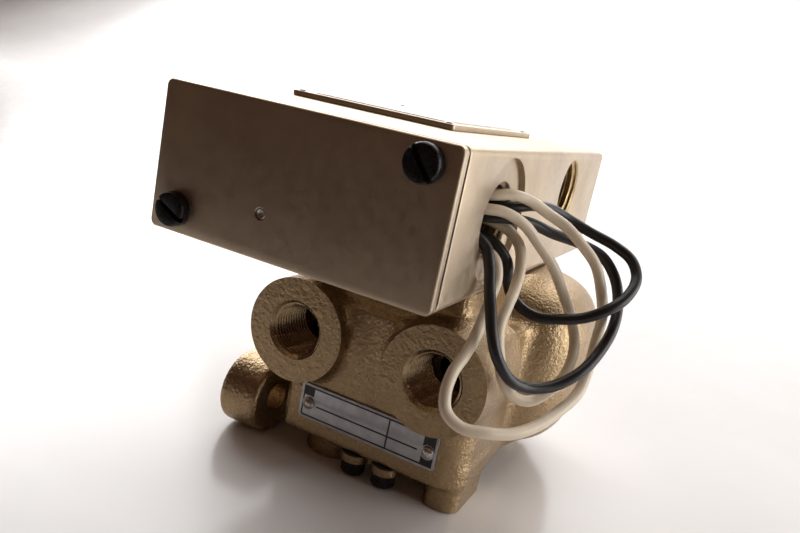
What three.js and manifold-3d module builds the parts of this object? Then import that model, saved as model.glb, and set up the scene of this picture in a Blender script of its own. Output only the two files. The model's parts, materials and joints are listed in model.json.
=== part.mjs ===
// Solenoid directional valve: a three-way poppet valve with a solenoid pilot head.
//
// Millimetres, +X to the right, +Y away from the cover, +Z up. Every shape is worked out in the
// housing frame, whose origin is the lower left corner of the cover's front face, and the whole
// valve is then moved so that its origin is the middle of its footprint, at the height of its feet.

import * as THREE from 'three';
import Module from 'manifold-3d';
import { mergeVertices } from 'three/addons/utils/BufferGeometryUtils.js';
import { RoundedBoxGeometry } from 'three/addons/geometries/RoundedBoxGeometry.js';

const wasm = await Module();
wasm.setup();

// ---- Driving dimensions ------------------------------------------------------------------

const FIT = 0.3; // clearance round turned pieces, which are faceted
const SEAT_GAP = 0.03; // between a spring's end and the face it bears on
const SIDES = 28; // facets round a large cylinder
const SMALL_SIDES = 12; // facets round a small one

// Pilot housing, and the cover and gasket on its front.
const HOUSING = { width: 82.5, depth: 147, height: 38.4 };
const COVER = { thickness: 3, corner: 3 };
const COVER_GASKET = 0.6;
const HOUSING_FRONT = COVER.thickness + COVER_GASKET;
const CAVITY = { left: 4, right: 70.5, rear: 121, floor: 3.6, roof: 34.8 };
const CONDUIT_RADIUS = 10.2; // minor radius of the conduit thread
const LEAD_OPENING = { y: 36.2, z: 19.3, ringRadius: 16.8, ringDepth: 1.6 };
const REAR_OPENING = { y: 102.2, z: 25.1 };

// Cheese-head cover screws: two, at opposite corners.
const COVER_SCREW = { radius: 2.5, head: 4.6, headHeight: 3.1, end: 17, slot: 1.3, slotDepth: 1.5 };
const COVER_SCREWS = {
  cover_screw_lower: { x: 8.1, z: 6.2, turn: 0.45 },
  cover_screw_upper: { x: 74.1, z: 33, turn: 0.9 },
};

// Raised plate and rating label on the roof of the housing.
const TOP_PLATE = { x: [0.6, 57], y: [54, 132], thickness: 1.8 };
const TOP_LABEL = { inset: 5, thickness: 0.25 };
const TOP_PIN = { radius: 1.3, inset: 2.6, height: 0.6 };

// Solenoid: its axis runs along Y.
const SOLENOID = { x: 26, z: 19.2 };
const PLUNGER = { radius: 5.4, front: 18.2, rear: 46, bore: 2.9, boreFront: 36 };
const PLUNGER_TRAVEL = 1.5;
const POLE = { radius: 5.5, front: PLUNGER.rear + PLUNGER_TRAVEL + 0.5, rear: 80 };
const CORE_TUBE = { inner: 5.9, outer: 6.5, front: 17.2, rear: 75 };
const BOBBIN = { inner: 6.9, tube: 7.9, flange: 14.4, front: 24, rear: 70, flangeThickness: 1.5 };
const COIL_RADIUS = 13.9;
const YOKE = { halfWidth: 17.5, front: 20.5, rear: 73.5, thickness: 2.5, z: [7.2, 31.2] };
const SOLENOID_NUT = { acrossFlats: 15, thickness: 4.5 };

// Pilot block, pilot seat and the flush override pin.
const PILOT_BLOCK = { x: [10, 44], y: [5.5, 15.2] };
const PILOT_SEAT = { radius: 3.7, front: 7, rear: 16.6, orifice: 0.9 };
const OVERRIDE = { x: 34, z: 11.4, radius: 1.35, front: 0.1, rear: 12.2 };
const OVERRIDE_COLLAR = { radius: 2.6, front: 3.9, rear: 4.9 };
const OVERRIDE_SPRING_BORE = { radius: 3.1, rear: 9.4 };

// Valve body: a sand casting under the housing.
const BODY_TOP = -0.6; // the gasket between them fills the gap
const BODY_BOTTOM = -55;
const BASE = -62; // the plane the feet stand on
const BODY_FRONT = 29;
const BODY_REAR = 112;
const BODY_MID_Y = (BODY_FRONT + BODY_REAR) / 2;
const NECK = { x: [33, 81], y: [30, 111], corner: 7 };
const BLOCK_TOP = -11;
const PORT_BOSS = { radius: 15, face: 23, z: -23.2 };
const PORT = { minor: 7.6, mouth: 8.8, depth: 17 };
const FRONT_PORTS = { left: 35.4, right: 78.3 };
const REAR_PORT = { x: 62, z: -22, face: 121 };
const DOME = { x: [52, 105], y: [62, 118], z: [-50, BODY_TOP], radius: 17 };
const LUG = { x: [13, 26], radius: 11, y: 34.5, z: -50.7, hole: 4.3, top: -39.7, root: 62 };
const FRONT_LEFT_FOOT = { x: 45, y: 42.5, radius: 8.7 };
const RIGHT_FOOT = { x: [78.6, 89.2], y: [33, 55], corner: 4.5 };
const REAR_FOOT_RIGHT = { x: 80, y: 99.5, radius: 7 };

// Poppet bore: its axis runs along Z.
const BORE = { x: 62, y: BODY_MID_Y };
const PISTON_BORE = { radius: 18, bottom: -12 };
const WEB = { bottom: -15, bushRadius: 6.3 };
const CHAMBER_RADIUS = 14;
const THROAT_RADIUS = 8.5;
const EXHAUST_SEAT = -27;
const OUTLET = { top: -29.5, bottom: -38 };
const INLET_SEAT = -40.5;
const POPPET_TRAVEL = 3.7;
const STEM = { radius: 3.5, top: -1.55, bottom: -50, headRadius: 5.5, headTop: -0.35 };
const PISTON = { radius: 17.4, top: -1.65, bottom: -7.4 };
const POPPET_RADIUS = 11;
const POPPET_HOLE = STEM.radius + FIT;

// Bottom cap, its gasket and its four socket-head screws.
const CAP = { gasket: 0.4, thickness: 2.2, disc: 18.6, barHalfWidth: 7, lobe: 4.2, recess: 1.2 };
const CAP_TOP = BODY_BOTTOM - CAP.gasket;
const CAP_BOTTOM = CAP_TOP - CAP.thickness;
const CAP_SCREW = { radius: 2, head: 3.5, headHeight: 4, end: -47.5, pitchX: 10, pitchY: 76 };
const HEX_SOCKET = { acrossFlats: 3, depth: 2.2 };

// Bolts that hold the housing down on the body, set in the housing's floor.
const HOUSING_BOLT = { radius: 2.5, head: 4.2, headHeight: 3.2, end: -11.5 };
const HOUSING_BOLT_PLACES = [[48.7, 38], [65.3, 38], [48.7, 101], [65.3, 101]];

// Nameplate on the front of the body.
const NAMEPLATE = { x: [38.2, 82.3], z: [-49.8, -39.1], thickness: 0.6, corner: 0.9 };
const NAMEPLATE_PIN = { radius: 1.8, height: 1.1, shank: 0.9, depth: 4 };
const NAMEPLATE_PINS = { nameplate_pin_left: 41.2, nameplate_pin_right: 79.6 };
const NAMEPLATE_PIN_Z = -45;

// Leads of the coil, looped outside the housing.
const LEAD = { radius: 1.5, step: 6 };

// ---- Solids ------------------------------------------------------------------------------

// A closed geometry as a solid that can be joined and cut.
function solidOf(geometry) {
  const bare = geometry.clone();
  bare.deleteAttribute('normal');
  bare.deleteAttribute('uv');
  const merged = mergeVertices(bare, 1e-4);
  const vertProperties = new Float32Array(merged.attributes.position.array);
  const triVerts = new Uint32Array(merged.index.array);
  return new wasm.Manifold(new wasm.Mesh({ numProp: 3, vertProperties, triVerts }));
}

function geometryOf(solid) {
  const { vertProperties, triVerts } = solid.getMesh();
  const geometry = new THREE.BufferGeometry();
  geometry.setAttribute('position', new THREE.BufferAttribute(new Float32Array(vertProperties), 3));
  geometry.setIndex(new THREE.BufferAttribute(new Uint32Array(triVerts), 1));
  geometry.computeVertexNormals();
  return geometry;
}

function join(...solids) {
  return solids.reduce((whole, solid) => whole.add(solid));
}

function cut(solid, ...tools) {
  return tools.reduce((rest, tool) => rest.subtract(tool), solid);
}

// Each argument is the [low, high] span along X, Y or Z.
function box(x, y, z) {
  const geometry = new THREE.BoxGeometry(x[1] - x[0], y[1] - y[0], z[1] - z[0]);
  geometry.translate((x[0] + x[1]) / 2, (y[0] + y[1]) / 2, (z[0] + z[1]) / 2);
  return solidOf(geometry);
}

function roundedBox(x, y, z, radius, segments = 3) {
  const size = [x[1] - x[0], y[1] - y[0], z[1] - z[0]];
  const geometry = new RoundedBoxGeometry(...size, segments, radius);
  geometry.translate((x[0] + x[1]) / 2, (y[0] + y[1]) / 2, (z[0] + z[1]) / 2);
  return solidOf(geometry);
}

// A cone or cylinder along an axis: radii at the span's two ends, and the axis's place in the
// other two directions, in X, Y, Z order.
function cone(axis, radii, span, place, sides = SIDES) {
  const geometry = new THREE.CylinderGeometry(radii[1], radii[0], span[1] - span[0], sides);
  const middle = (span[0] + span[1]) / 2;
  if (axis === 'x') {
    geometry.rotateZ(-Math.PI / 2);
    geometry.translate(middle, place[0], place[1]);
  } else if (axis === 'y') {
    geometry.translate(place[0], middle, place[1]);
  } else {
    geometry.rotateX(Math.PI / 2);
    geometry.translate(place[0], place[1], middle);
  }
  return solidOf(geometry);
}

function cylinder(axis, radius, span, place, sides = SIDES) {
  return cone(axis, [radius, radius], span, place, sides);
}

function ring(axis, inner, outer, span, place, sides = SIDES) {
  const bore = cylinder(axis, inner, [span[0] - 1, span[1] + 1], place, sides);
  return cut(cylinder(axis, outer, span, place, sides), bore);
}

// A straight drilling between two points.
function drilling(from, to, radius) {
  const start = new THREE.Vector3(...from);
  const run = new THREE.Vector3(...to).sub(start);
  const geometry = new THREE.CylinderGeometry(radius, radius, run.length(), SMALL_SIDES);
  const turn = new THREE.Quaternion();
  turn.setFromUnitVectors(new THREE.Vector3(0, 1, 0), run.clone().normalize());
  geometry.applyQuaternion(turn);
  geometry.translate(start.x + run.x / 2, start.y + run.y / 2, start.z + run.z / 2);
  return solidOf(geometry);
}

function roundedRectangle(x, y, radius) {
  const shape = new THREE.Shape();
  shape.absarc(x[1] - radius, y[0] + radius, radius, -Math.PI / 2, 0);
  shape.absarc(x[1] - radius, y[1] - radius, radius, 0, Math.PI / 2);
  shape.absarc(x[0] + radius, y[1] - radius, radius, Math.PI / 2, Math.PI);
  shape.absarc(x[0] + radius, y[0] + radius, radius, Math.PI, Math.PI * 1.5);
  shape.closePath();
  return shape;
}

// An outline in X and Y, made solid between two heights.
function prism(shape, z, curveSegments = 4) {
  const depth = z[1] - z[0];
  const geometry = new THREE.ExtrudeGeometry(shape, { depth, bevelEnabled: false, curveSegments });
  geometry.translate(0, 0, z[0]);
  return solidOf(geometry);
}

// An outline in X and Z, made solid between two depths along Y.
function panel(shape, y, curveSegments = 4) {
  const depth = y[1] - y[0];
  const geometry = new THREE.ExtrudeGeometry(shape, { depth, bevelEnabled: false, curveSegments });
  geometry.rotateX(Math.PI / 2);
  geometry.translate(0, y[1], 0);
  return solidOf(geometry);
}

function hexagon(axis, acrossFlats, span, place) {
  return cylinder(axis, acrossFlats / Math.sqrt(3), span, place, 6);
}

// A round-wire compression spring along an axis, bearing on the seats at both ends of the span.
class Helix extends THREE.Curve {
  constructor(radius, length, turns) {
    super();
    Object.assign(this, { radius, length, turns });
  }

  getPoint(t, target = new THREE.Vector3()) {
    const angle = t * this.turns * Math.PI * 2;
    const height = t * this.length;
    return target.set(this.radius * Math.cos(angle), this.radius * Math.sin(angle), height);
  }
}

function spring(axis, coilRadius, wire, span, place, turns) {
  const inset = wire / 2 + SEAT_GAP;
  const path = new Helix(coilRadius, span[1] - span[0] - 2 * inset, turns);
  const section = new THREE.Shape();
  section.absarc(0, 0, wire / 2, 0, Math.PI * 2);
  const options = { steps: turns * 9, curveSegments: 2, bevelEnabled: false, extrudePath: path };
  const geometry = new THREE.ExtrudeGeometry(section, options);
  if (axis === 'y') {
    geometry.rotateX(-Math.PI / 2);
    geometry.translate(place[0], span[0] + inset, place[1]);
  } else {
    geometry.translate(place[0], place[1], span[0] + inset);
  }
  return solidOf(geometry);
}

// ---- Materials and assembly --------------------------------------------------------------

const LOOKS = {
  castBody: { color: 0xb7a184, roughness: 0.5, metalness: 0.75 },
  paintedHousing: { color: 0xbcaa8e, roughness: 0.42, metalness: 0.7 },
  blackSteel: { color: 0x222226, roughness: 0.45, metalness: 0.8 },
  steel: { color: 0x9c9da0, roughness: 0.3, metalness: 0.95 },
  aluminium: { color: 0xb9b6ae, roughness: 0.35, metalness: 0.9 },
  brass: { color: 0xb08d4c, roughness: 0.3, metalness: 0.95 },
  rubber: { color: 0x1b1b1c, roughness: 0.8, metalness: 0 },
  gasket: { color: 0x4a4138, roughness: 0.9, metalness: 0 },
  bobbin: { color: 0x2b2d31, roughness: 0.55, metalness: 0 },
  copper: { color: 0xa9613a, roughness: 0.4, metalness: 0.9 },
  label: { color: 0xe9e9e6, roughness: 0.3, metalness: 0 },
  creamLead: { color: 0xe6d8c2, roughness: 0.45, metalness: 0 },
  blackLead: { color: 0x222022, roughness: 0.4, metalness: 0 },
};

const valve = new THREE.Group();

function add(name, solid, look) {
  const geometry = solid.isBufferGeometry ? solid : geometryOf(solid);
  const mesh = new THREE.Mesh(geometry, new THREE.MeshStandardMaterial(LOOKS[look]));
  mesh.name = name;
  valve.add(mesh);
}

// ---- Pilot housing, cover and top plate --------------------------------------------------

function pilotHousing() {
  const outline = roundedRectangle([0, HOUSING.width], [0, HOUSING.height], COVER.corner);
  const shell = panel(outline, [HOUSING_FRONT, HOUSING.depth]);
  const { left, right, rear, floor, roof } = CAVITY;
  const cavity = box([left, right], [HOUSING_FRONT - 1, rear], [floor, roof]);
  const lower = COVER_SCREWS.cover_screw_lower;
  const post = box([left - 1, lower.x + 5], [HOUSING_FRONT, YOKE.front - 1], [floor - 1, lower.z + 5]);
  const through = [right - 1, HOUSING.width + 1];
  const lead = [LEAD_OPENING.y, LEAD_OPENING.z];
  const ringSpan = [HOUSING.width - LEAD_OPENING.ringDepth, HOUSING.width + 1];
  const tools = [
    cylinder('x', CONDUIT_RADIUS, through, lead),
    cylinder('x', LEAD_OPENING.ringRadius, ringSpan, lead),
    cylinder('x', CONDUIT_RADIUS, through, [REAR_OPENING.y, REAR_OPENING.z]),
    cylinder('z', 1.5, [-1, floor + 1], [BORE.x - 10, BORE.y], SMALL_SIDES),
  ];
  for (const { x, z } of Object.values(COVER_SCREWS)) {
    const span = [HOUSING_FRONT - 1, COVER_SCREW.end + 1];
    tools.push(cylinder('y', COVER_SCREW.radius + FIT, span, [x, z], SMALL_SIDES));
  }
  for (const place of HOUSING_BOLT_PLACES) {
    tools.push(cylinder('z', HOUSING_BOLT.radius + FIT, [-1, floor + 1], place, SMALL_SIDES));
  }
  return cut(cut(shell, cavity).add(post), ...tools);
}

function coverSheet(y, windowed) {
  const outline = roundedRectangle([0, HOUSING.width], [0, HOUSING.height], COVER.corner);
  let sheet = panel(outline, y);
  const cutSpan = [y[0] - 1, y[1] + 1];
  for (const { x, z } of Object.values(COVER_SCREWS)) {
    sheet = cut(sheet, cylinder('y', COVER_SCREW.radius + FIT, cutSpan, [x, z], SMALL_SIDES));
  }
  if (windowed) {
    const window = box([15, CAVITY.right - 1], cutSpan, [CAVITY.floor + 1, CAVITY.roof - 1]);
    return cut(sheet, window);
  }
  const pinHole = cylinder('y', OVERRIDE.radius + FIT, cutSpan, [OVERRIDE.x, OVERRIDE.z], SMALL_SIDES);
  return cut(sheet, pinHole);
}

function coverScrew({ x, z, turn }) {
  const { radius, head, headHeight, end, slot, slotDepth } = COVER_SCREW;
  const shank = cylinder('y', radius, [-0.1, end], [x, z], SMALL_SIDES);
  const crown = cone('y', [head - 0.6, head], [-headHeight, -headHeight + 0.6], [x, z], 28);
  const drum = cylinder('y', head, [-headHeight + 0.6, 0], [x, z], 28);
  const blade = new THREE.BoxGeometry(3 * head, 2 * slotDepth, slot);
  blade.rotateY(turn);
  blade.translate(x, -headHeight, z);
  return cut(join(shank, crown, drum), solidOf(blade));
}

function topPlate() {
  const z = [HOUSING.height, HOUSING.height + TOP_PLATE.thickness];
  return prism(roundedRectangle(TOP_PLATE.x, TOP_PLATE.y, 1.5), z, 3);
}

function topLabel() {
  const inset = ([low, high]) => [low + TOP_LABEL.inset, high - TOP_LABEL.inset];
  const outline = roundedRectangle(inset(TOP_PLATE.x), inset(TOP_PLATE.y), 2);
  const bottom = HOUSING.height + TOP_PLATE.thickness;
  return prism(outline, [bottom, bottom + TOP_LABEL.thickness], 3);
}

add('pilot_housing', pilotHousing(), 'paintedHousing');
add('front_cover', coverSheet([0, COVER.thickness], false), 'paintedHousing');
add('cover_gasket', coverSheet([COVER.thickness, HOUSING_FRONT], true), 'gasket');
for (const [name, place] of Object.entries(COVER_SCREWS)) {
  add(name, coverScrew(place), 'blackSteel');
}
add('top_plate', topPlate(), 'paintedHousing');
add('top_label', topLabel(), 'label');
let pinNumber = 0;
for (const x of [TOP_PLATE.x[0] + TOP_PIN.inset, TOP_PLATE.x[1] - TOP_PIN.inset]) {
  for (const y of [TOP_PLATE.y[0] + TOP_PIN.inset, TOP_PLATE.y[1] - TOP_PIN.inset]) {
    pinNumber += 1;
    const bottom = HOUSING.height + TOP_PLATE.thickness;
    const head = cone('z', [TOP_PIN.radius, 0.7], [bottom, bottom + TOP_PIN.height], [x, y], 12);
    add(`top_plate_pin_${pinNumber}`, head, 'steel');
  }
}

// ---- Solenoid ----------------------------------------------------------------------------

const axisPlace = [SOLENOID.x, SOLENOID.z];

function coilBobbin() {
  const { inner, tube, flange, front, rear, flangeThickness } = BOBBIN;
  const spool = cylinder('y', tube, [front, rear], axisPlace);
  const frontFlange = cylinder('y', flange, [front, front + flangeThickness], axisPlace);
  const rearFlange = cylinder('y', flange, [rear - flangeThickness, rear], axisPlace);
  const bore = cylinder('y', inner, [front - 1, rear + 1], axisPlace);
  return cut(join(spool, frontFlange, rearFlange), bore);
}

function coilWinding() {
  const { tube, front, rear, flangeThickness } = BOBBIN;
  const span = [front + flangeThickness + 0.05, rear - flangeThickness - 0.05];
  return ring('y', tube + FIT, COIL_RADIUS, span, axisPlace);
}

function solenoidYoke() {
  const { halfWidth, front, rear, thickness, z } = YOKE;
  const x = [SOLENOID.x - halfWidth, SOLENOID.x + halfWidth];
  const strap = box(x, [front, rear], z);
  const window = box(
    [x[0] + thickness, x[1] - thickness],
    [front + thickness, rear - thickness],
    [z[0] - 1, z[1] + 1],
  );
  const bore = cylinder('y', CORE_TUBE.outer + FIT, [front - 1, rear + 1], axisPlace);
  return cut(strap, window, bore);
}

function plunger() {
  const { radius, front, rear, bore, boreFront } = PLUNGER;
  const core = cylinder('y', radius, [front, rear], axisPlace, 28);
  return cut(core, cylinder('y', bore, [boreFront, rear + 1], axisPlace, SMALL_SIDES));
}

function pilotBlock() {
  const { x, y } = PILOT_BLOCK;
  const block = box(x, y, [CAVITY.floor + 0.05, CAVITY.roof - 0.05]);
  const pinPlace = [OVERRIDE.x, OVERRIDE.z];
  const { radius, rear } = OVERRIDE_SPRING_BORE;
  return cut(
    block,
    cylinder('y', PILOT_SEAT.radius + FIT, [PILOT_SEAT.front, y[1] + 1], axisPlace, SMALL_SIDES),
    cylinder('y', 1.2, [y[0] - 1, PILOT_SEAT.front + 1], axisPlace, SMALL_SIDES),
    cylinder('y', OVERRIDE.radius + FIT, [rear - 1, y[1] + 1], pinPlace, SMALL_SIDES),
    cylinder('y', radius, [y[0] - 1, rear], pinPlace, SMALL_SIDES),
    cylinder('y', 2.9, [11, 12.4], pinPlace, SMALL_SIDES),
    box([x[0] - 1, 18], [y[0] - 1, y[1] + 1], [0, COVER_SCREWS.cover_screw_lower.z + 5.5]),
  );
}

function overridePin() {
  const place = [OVERRIDE.x, OVERRIDE.z];
  const rod = cylinder('y', OVERRIDE.radius, [OVERRIDE.front, OVERRIDE.rear], place, SMALL_SIDES);
  const { radius, front, rear } = OVERRIDE_COLLAR;
  return join(rod, cylinder('y', radius, [front, rear], place, SMALL_SIDES));
}

function pilotSeat() {
  const { radius, front, rear, orifice } = PILOT_SEAT;
  return ring('y', orifice, radius, [front, rear], axisPlace, SMALL_SIDES);
}

function coreTube() {
  const { inner, outer, front, rear } = CORE_TUBE;
  return ring('y', inner, outer, [front, rear], axisPlace);
}

add('pilot_block', pilotBlock(), 'aluminium');
add('pilot_seat', pilotSeat(), 'brass');
add('core_tube', coreTube(), 'steel');
add('pole_piece', cylinder('y', POLE.radius, [POLE.front, POLE.rear], axisPlace, 28), 'steel');
add('coil_bobbin', coilBobbin(), 'bobbin');
add('coil_winding', coilWinding(), 'copper');
add('solenoid_yoke', solenoidYoke(), 'steel');
const nutFront = CORE_TUBE.rear + 0.3;
const nutSpan = [nutFront, nutFront + SOLENOID_NUT.thickness];
const nutBore = cylinder('y', POLE.radius + FIT, [nutFront - 1, nutSpan[1] + 1], axisPlace);
add('solenoid_nut', cut(hexagon('y', SOLENOID_NUT.acrossFlats, nutSpan, axisPlace), nutBore), 'steel');
add('plunger', plunger(), 'steel');
const facing = cylinder('y', 3, [PILOT_SEAT.rear + 0.3, PLUNGER.front], axisPlace, SMALL_SIDES);
add('plunger_seal', facing, 'rubber');
add('plunger_spring', spring('y', 2.1, 0.6, [PLUNGER.boreFront, POLE.front], axisPlace, 6), 'steel');
const pinPlace = [OVERRIDE.x, OVERRIDE.z];
const pinSpringSpan = [OVERRIDE_COLLAR.rear, OVERRIDE_SPRING_BORE.rear];
add('override_pin', overridePin(), 'steel');
add('override_spring', spring('y', 2.2, 0.5, pinSpringSpan, pinPlace, 4), 'steel');
add('override_seal', ring('y', 1.7, 2.6, [11.2, 12.2], pinPlace, SMALL_SIDES), 'rubber');

// ---- Valve body --------------------------------------------------------------------------

const borePlace = [BORE.x, BORE.y];
const capScrewPlaces = [];
for (const sideY of [-0.5, 0.5]) {
  for (const sideX of [-0.5, 0.5]) {
    capScrewPlaces.push([BORE.x + sideX * CAP_SCREW.pitchX, BORE.y + sideY * CAP_SCREW.pitchY]);
  }
}

// Plan of the lower block: its left corners are swept back to the lugs.
function blockPlan() {
  const plan = new THREE.Shape();
  plan.moveTo(24, 46);
  plan.lineTo(31, 33.5);
  plan.quadraticCurveTo(32.5, BODY_FRONT, 36, BODY_FRONT);
  plan.lineTo(81, BODY_FRONT);
  plan.absarc(81, BODY_FRONT + 9, 9, -Math.PI / 2, 0);
  plan.lineTo(90, BODY_REAR - 9);
  plan.absarc(81, BODY_REAR - 9, 9, 0, Math.PI / 2);
  plan.lineTo(36, BODY_REAR);
  plan.quadraticCurveTo(32.5, BODY_REAR, 31, BODY_REAR - 4.5);
  plan.lineTo(24, BODY_REAR + BODY_FRONT - 46);
  plan.closePath();
  return plan;
}

// One fixing lug: an eye whose bolt runs along X, on a web that reaches back into the block.
function lug() {
  const eye = cylinder('x', LUG.radius, LUG.x, [LUG.y, LUG.z]);
  const web = box(LUG.x, [LUG.y, LUG.root], [LUG.z - LUG.radius, LUG.top]);
  return join(eye, web);
}

function mirroredInY(solid) {
  return solid.translate([0, -BODY_MID_Y, 0]).mirror([0, 1, 0]).translate([0, BODY_MID_Y, 0]);
}

function feet() {
  const z = [BASE, BODY_BOTTOM + 1];
  const { x, y, radius } = FRONT_LEFT_FOOT;
  const leftFront = cylinder('z', radius, z, [x, y]);
  const right = prism(roundedRectangle(RIGHT_FOOT.x, RIGHT_FOOT.y, RIGHT_FOOT.corner), z);
  const rearRight = cylinder('z', REAR_FOOT_RIGHT.radius, z, [REAR_FOOT_RIGHT.x, REAR_FOOT_RIGHT.y]);
  return [leftFront, mirroredInY(leftFront), right, rearRight];
}

function portTools(x, z, face, inward) {
  const at = (depth) => face + inward * depth;
  const spanTo = (near, far) => [Math.min(at(near), at(far)), Math.max(at(near), at(far))];
  const chamfer = PORT.mouth - PORT.minor;
  const radii = inward > 0 ? [PORT.mouth, PORT.minor] : [PORT.minor, PORT.mouth];
  return [
    cylinder('y', PORT.minor, spanTo(-1, PORT.depth), [x, z]),
    cone('y', radii, spanTo(0, chamfer), [x, z]),
  ];
}

function poppetBore() {
  const r = CHAMBER_RADIUS;
  return [
    cylinder('z', PISTON_BORE.radius, [PISTON_BORE.bottom, 1], borePlace),
    cylinder('z', WEB.bushRadius, [WEB.bottom - 1, PISTON_BORE.bottom + 1], borePlace),
    cylinder('z', r, [EXHAUST_SEAT, WEB.bottom], borePlace),
    cylinder('z', THROAT_RADIUS, [INLET_SEAT - 1, EXHAUST_SEAT + 1], borePlace),
    cylinder('z', r, [OUTLET.bottom, OUTLET.top], borePlace),
    cylinder('z', r, [BODY_BOTTOM - 1, INLET_SEAT], borePlace),
  ];
}

function passages() {
  const portEnd = PORT_BOSS.face + PORT.depth - 1;
  const outletMiddle = (OUTLET.top + OUTLET.bottom) / 2;
  return [
    drilling([FRONT_PORTS.left, portEnd, PORT_BOSS.z], [BORE.x - 10, BORE.y - 6, -47], 5.5),
    drilling([FRONT_PORTS.right, portEnd, PORT_BOSS.z], [BORE.x + 8, BORE.y - 6, outletMiddle], 4.1),
    cylinder('y', 5, [BORE.y, REAR_PORT.face - PORT.depth + 1], [REAR_PORT.x, REAR_PORT.z + 1]),
  ];
}

function valveBody() {
  const { radius, face, z } = PORT_BOSS;
  const frontLug = lug();
  const casting = join(
    prism(roundedRectangle(NECK.x, NECK.y, NECK.corner), [BODY_BOTTOM + 1, BODY_TOP]),
    prism(blockPlan(), [BODY_BOTTOM, BLOCK_TOP]),
    cylinder('y', radius, [face, face + 30], [FRONT_PORTS.left, z]),
    cylinder('y', radius, [face, face + 30], [FRONT_PORTS.right, z]),
    cylinder('y', radius, [REAR_PORT.face - 30, REAR_PORT.face], [REAR_PORT.x, REAR_PORT.z]),
    roundedBox(DOME.x, DOME.y, DOME.z, DOME.radius),
    frontLug,
    mirroredInY(frontLug),
    ...feet(),
  );
  // Below the dome the block stops short, so that the dome overhangs it at the right rear.
  const undercut = box([86, 120], [66, 130], [BASE - 1, DOME.z[0] + 2]);
  const lugSpan = [LUG.x[0] - 1, LUG.x[1] + 1.4];
  const lugHole = cylinder('x', LUG.hole, lugSpan, [LUG.y, LUG.z], 28);
  const tools = [
    undercut,
    ...portTools(FRONT_PORTS.left, z, face, 1),
    ...portTools(FRONT_PORTS.right, z, face, 1),
    ...portTools(REAR_PORT.x, REAR_PORT.z, REAR_PORT.face, -1),
    ...poppetBore(),
    ...passages(),
    lugHole,
    mirroredInY(lugHole),
  ];
  for (const place of HOUSING_BOLT_PLACES) {
    const span = [HOUSING_BOLT.end - 0.5, 1];
    tools.push(cylinder('z', HOUSING_BOLT.radius + FIT, span, place, SMALL_SIDES));
  }
  for (const place of capScrewPlaces) {
    const span = [BODY_BOTTOM - 1, CAP_SCREW.end + 0.5];
    tools.push(cylinder('z', CAP_SCREW.radius + FIT, span, place, SMALL_SIDES));
  }
  for (const x of Object.values(NAMEPLATE_PINS)) {
    const span = [BODY_FRONT - 1, BODY_FRONT + NAMEPLATE_PIN.depth];
    tools.push(cylinder('y', NAMEPLATE_PIN.shank + FIT, span, [x, NAMEPLATE_PIN_Z], 12));
  }
  return cut(casting, ...tools);
}

function bodyGasket() {
  const sheet = prism(roundedRectangle(NECK.x, NECK.y, NECK.corner), [BODY_TOP, 0]);
  const holes = HOUSING_BOLT_PLACES.map(
    (place) => cylinder('z', HOUSING_BOLT.radius + FIT, [BODY_TOP - 1, 1], place, SMALL_SIDES),
  );
  return cut(sheet, cylinder('z', PISTON_BORE.radius, [BODY_TOP - 1, 1], borePlace), ...holes);
}

function housingBolt(place) {
  const { radius, head, headHeight, end } = HOUSING_BOLT;
  const bottom = CAVITY.floor + 0.05;
  const top = bottom + headHeight;
  const shank = cylinder('z', radius, [end, bottom + 1], place, SMALL_SIDES);
  const drum = cylinder('z', head, [bottom, top], place, 24);
  return cut(join(shank, drum), hexagon('z', 4, [top - 2, top + 1], place));
}

function capPlan(z) {
  const { disc, barHalfWidth, lobe } = CAP;
  const endY = capScrewPlaces[2][1];
  const bar = box([BORE.x - barHalfWidth, BORE.x + barHalfWidth], [2 * BORE.y - endY, endY], z);
  const lobes = capScrewPlaces.map((place) => cylinder('z', lobe, z, place, 16));
  const holes = capScrewPlaces.map(
    (place) => cylinder('z', CAP_SCREW.radius + FIT, [z[0] - 1, z[1] + 1], place, SMALL_SIDES),
  );
  return cut(join(cylinder('z', disc, z, borePlace), bar, ...lobes), ...holes);
}

function capScrew(place) {
  const { radius, head, headHeight, end } = CAP_SCREW;
  const top = CAP_BOTTOM;
  const shank = cylinder('z', radius, [top - 1, end], place, SMALL_SIDES);
  const drum = cylinder('z', head, [top - headHeight, top], place, 24);
  const socketSpan = [top - headHeight - 1, top - headHeight + HEX_SOCKET.depth];
  return cut(join(shank, drum), hexagon('z', HEX_SOCKET.acrossFlats, socketSpan, place));
}

add('valve_body', valveBody(), 'castBody');
add('body_gasket', bodyGasket(), 'gasket');
HOUSING_BOLT_PLACES.forEach((place, i) => add(`housing_bolt_${i + 1}`, housingBolt(place), 'blackSteel'));
const capGasketSpan = [CAP_TOP, BODY_BOTTOM];
const capOpening = cylinder('z', CHAMBER_RADIUS, [CAP_TOP - 1, BODY_BOTTOM + 1], borePlace);
add('cap_gasket', cut(capPlan(capGasketSpan), capOpening), 'gasket');
const springRecess = cylinder('z', 9, [CAP_TOP - CAP.recess, CAP_TOP + 1], borePlace);
add('bottom_cap', cut(capPlan([CAP_BOTTOM, CAP_TOP]), springRecess), 'aluminium');
capScrewPlaces.forEach((place, i) => add(`cap_screw_${i + 1}`, capScrew(place), 'blackSteel'));

// ---- Nameplate ---------------------------------------------------------------------------

const plateFront = BODY_FRONT - 0.05 - NAMEPLATE.thickness;

function nameplate() {
  const outline = roundedRectangle(NAMEPLATE.x, NAMEPLATE.z, NAMEPLATE.corner);
  const span = [plateFront, BODY_FRONT - 0.05];
  const holes = Object.values(NAMEPLATE_PINS).map(
    (x) => cylinder('y', NAMEPLATE_PIN.shank + FIT, [20, 40], [x, NAMEPLATE_PIN_Z], 12),
  );
  return cut(panel(outline, span, 4), ...holes);
}

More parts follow.
